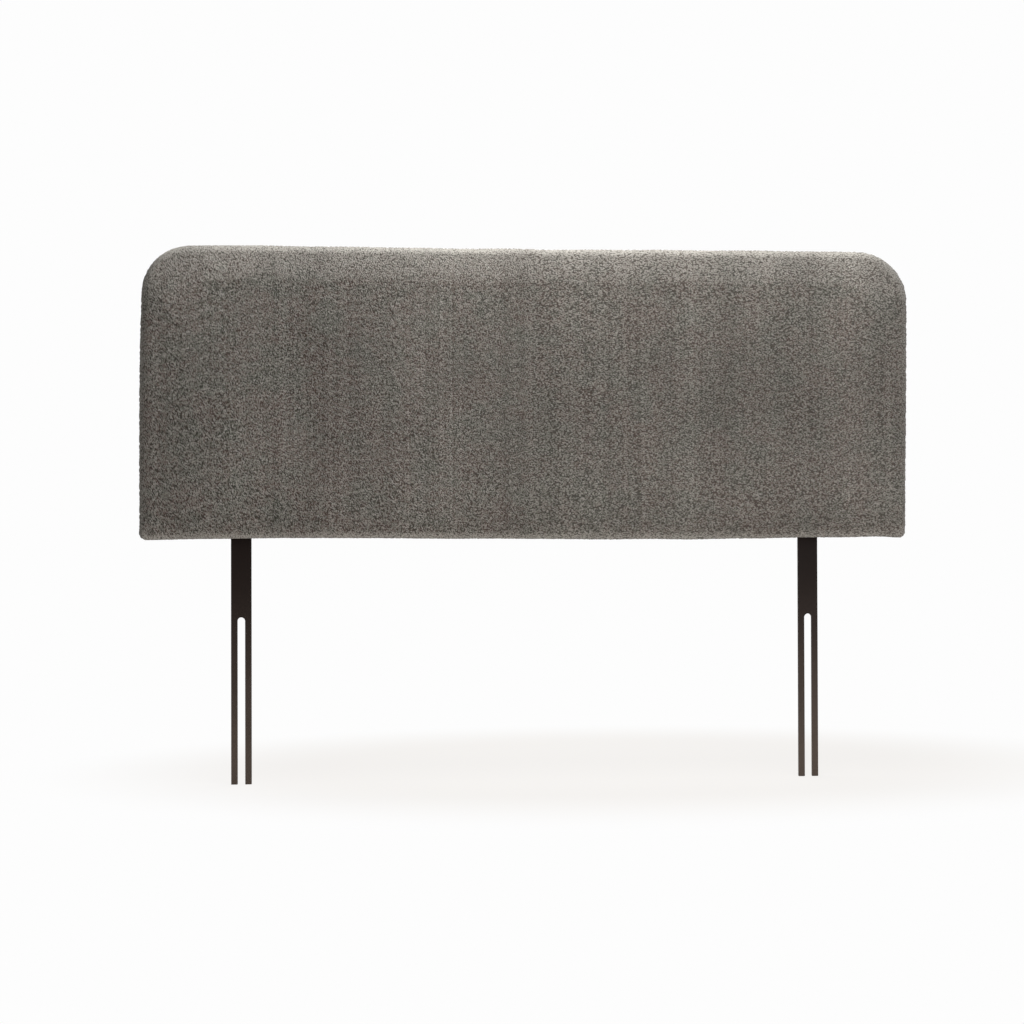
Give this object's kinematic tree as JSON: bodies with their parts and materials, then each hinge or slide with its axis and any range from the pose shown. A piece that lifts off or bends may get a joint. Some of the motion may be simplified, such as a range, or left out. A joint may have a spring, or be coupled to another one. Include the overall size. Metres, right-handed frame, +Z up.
{
  "type": "headboard",
  "caption": "Upholstered headboard with a plain padded face, large rounded upper corners and flat steel legs slotted from the floor end to drop over bed-base bolts.",
  "frame": {"origin": "floor level, midway between the legs and midway through the overall depth", "axes": "+X right as seen from the bed, +Y towards the wall behind, +Z up; the padded face looks along -Y"},
  "size_m": [1.52, 0.0832, 1.06],
  "materials": {
    "boucle_fabric": "matte",
    "fibre": "matte",
    "foam": "matte",
    "hardboard": "matte",
    "pine": "matte",
    "plywood": "matte",
    "beech": "matte",
    "lining_cloth": "matte",
    "black_coated_steel": "satin",
    "zinc_steel": "satin"
  },
  "bodies": {
    "headboard": {"fabric_cover": "boucle_fabric", "fibre_wadding": "fibre", "foam_face": "foam", "foam_edge_strip": "foam", "face_board": "hardboard", "bottom_rail": "pine", "top_rail": "pine", "left_stile": "pine", "right_stile": "pine", "left_corner_block": "plywood", "right_corner_block": "plywood", "left_leg_post": "pine", "right_leg_post": "pine", "centre_post": "pine", "corner_dowels": "beech", "frame_screws": "zinc_steel", "board_staples": "zinc_steel", "cover_staples": "zinc_steel", "back_lining": "lining_cloth", "lining_staples": "zinc_steel", "left_leg": "black_coated_steel", "right_leg": "black_coated_steel", "left_leg_bolts": "zinc_steel", "right_leg_bolts": "zinc_steel", "left_flat_washers": "zinc_steel", "right_flat_washers": "zinc_steel", "left_spring_washers": "zinc_steel", "right_spring_washers": "zinc_steel", "left_tee_nuts": "zinc_steel", "right_tee_nuts": "zinc_steel"}
  },
  "joints": []
}
